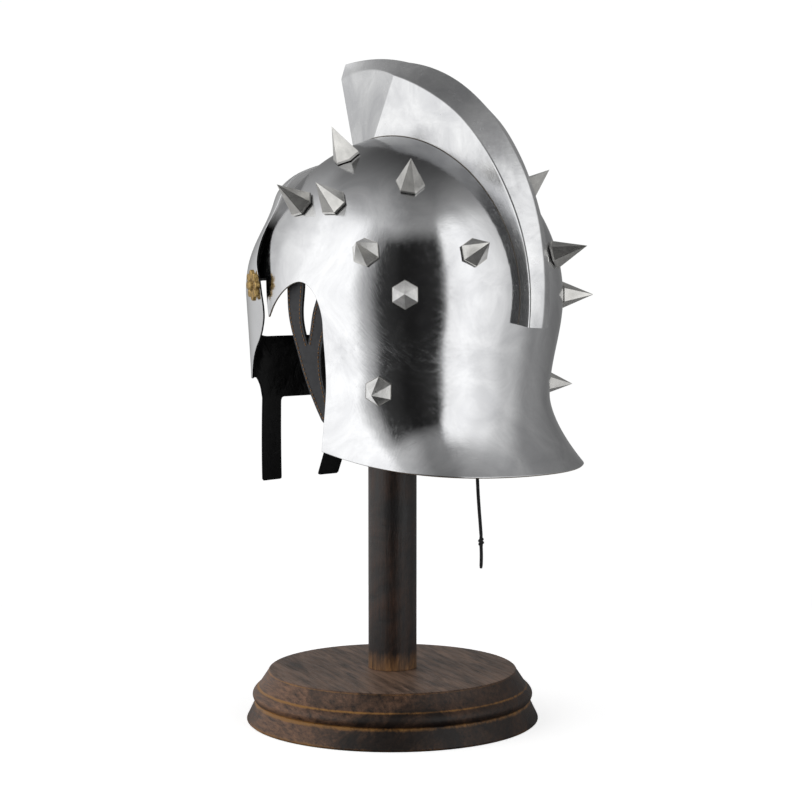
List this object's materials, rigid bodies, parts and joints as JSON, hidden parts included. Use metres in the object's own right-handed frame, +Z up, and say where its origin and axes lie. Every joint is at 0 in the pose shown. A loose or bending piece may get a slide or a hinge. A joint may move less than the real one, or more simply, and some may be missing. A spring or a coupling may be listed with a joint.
{
  "type": "gladiator helmet on a wooden stand",
  "caption": "Steel helmet with a tall hollow crest, studded spikes, a riveted face guard with an eye opening and leather cheek straps, resting on a turned wooden stand.",
  "frame": {"origin": "centre of the stand's foot, on the surface it stands on", "axes": "+Z up, the helmet faces -Y, +X to the wearer's left"},
  "size_m": [0.2386, 0.2547, 0.4894],
  "materials": {
    "polished_steel": "hand polished sheet steel with fine swirl marks",
    "crest_steel": "polished sheet steel",
    "spike_steel": "satin ground steel",
    "antique_brass": "antique cast brass",
    "dark_leather": "dark grey leather with tan stitching",
    "black_lace": "round black lace",
    "dark_wood": "dark stained and rubbed hardwood, satin"
  },
  "bodies": {
    "root": {"stand_base": "dark_wood", "stand_head": "dark_wood", "stand_post": "dark_wood", "skull": "polished_steel", "crest": "crest_steel", "face_guard": "polished_steel", "spike_left_1": "spike_steel", "spike_left_2": "spike_steel", "spike_left_3": "spike_steel", "spike_left_4": "spike_steel", "spike_left_5": "spike_steel", "spike_left_6": "spike_steel", "spike_left_7": "spike_steel", "spike_left_8": "spike_steel", "spike_right_1": "spike_steel", "spike_right_2": "spike_steel", "spike_right_3": "spike_steel", "spike_right_4": "spike_steel", "spike_right_5": "spike_steel", "spike_right_6": "spike_steel", "spike_right_7": "spike_steel", "spike_right_8": "spike_steel", "rosette_left": "antique_brass", "rosette_right": "antique_brass", "liner_strap_left": "dark_leather", "liner_strap_right": "dark_leather", "liner_headband": "dark_leather", "lace": "black_lace", "lace_knot": "black_lace"}
  },
  "joints": []
}
